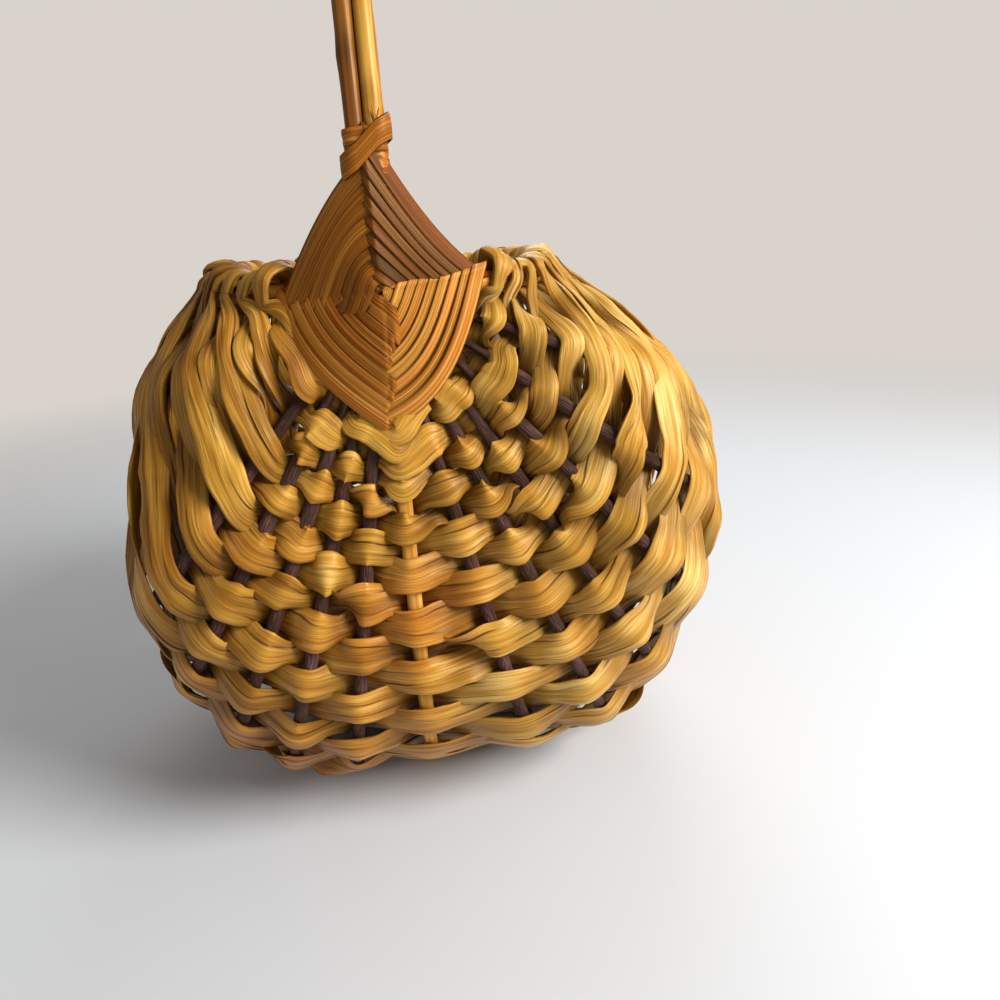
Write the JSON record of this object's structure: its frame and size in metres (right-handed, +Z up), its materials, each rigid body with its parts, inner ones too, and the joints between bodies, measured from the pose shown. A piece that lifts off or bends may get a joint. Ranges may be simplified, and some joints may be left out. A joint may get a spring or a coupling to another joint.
{
  "type": "handled rib basket",
  "caption": "Melon-shaped open basket of leaf strips woven over bark ribs and two crossed hoops, with a God's eye lashing at each end and a tall arched handle.",
  "frame": {"origin": "middle of the bounding box's base, on the surface that the basket stands on", "axes": "+Z up along the height; +X across the two lobes, towards the larger one; -Y towards the end that faces the viewer"},
  "size_m": [0.2148, 0.1878, 0.3216],
  "materials": {
    "golden_rod": "peeled golden willow-like rod, satin",
    "dark_rod": "darker peeled rod, satin",
    "splint": "split cane splints with fine parallel fibres, satin",
    "bark": "dark purple-brown twig with its bark on, matt",
    "leaf": "dried banana leaf strip, folded, straw gold, soft sheen"
  },
  "bodies": {
    "root": {"rim_hoop": "golden_rod", "handle_hoop": "golden_rod", "handle_second_rod": "dark_rod", "gods_eye_near": "splint", "gods_eye_far": "splint", "rib_right_1": "bark", "rib_right_2": "bark", "rib_right_3": "bark", "rib_right_4": "bark", "rib_right_5": "bark", "rib_right_6": "bark", "rib_left_1": "bark", "rib_left_2": "bark", "rib_left_3": "bark", "rib_left_4": "bark", "rib_left_5": "bark", "rib_left_6": "bark", "leaf_strip_01": "leaf", "leaf_strip_02": "leaf", "leaf_strip_03": "leaf", "leaf_strip_04": "leaf", "leaf_strip_05": "leaf", "leaf_strip_06": "leaf", "leaf_strip_07": "leaf", "leaf_strip_08": "leaf", "leaf_strip_09": "leaf", "leaf_strip_10": "leaf", "leaf_strip_11": "leaf", "leaf_strip_12": "leaf", "leaf_strip_13": "leaf", "leaf_strip_14": "leaf", "leaf_strip_15": "leaf", "leaf_strip_16": "leaf", "leaf_strip_17": "leaf", "leaf_strip_18": "leaf", "leaf_strip_19": "leaf", "leaf_strip_20": "leaf", "leaf_strip_21": "leaf", "leaf_strip_22": "leaf", "leaf_strip_23": "leaf"}
  },
  "joints": []
}
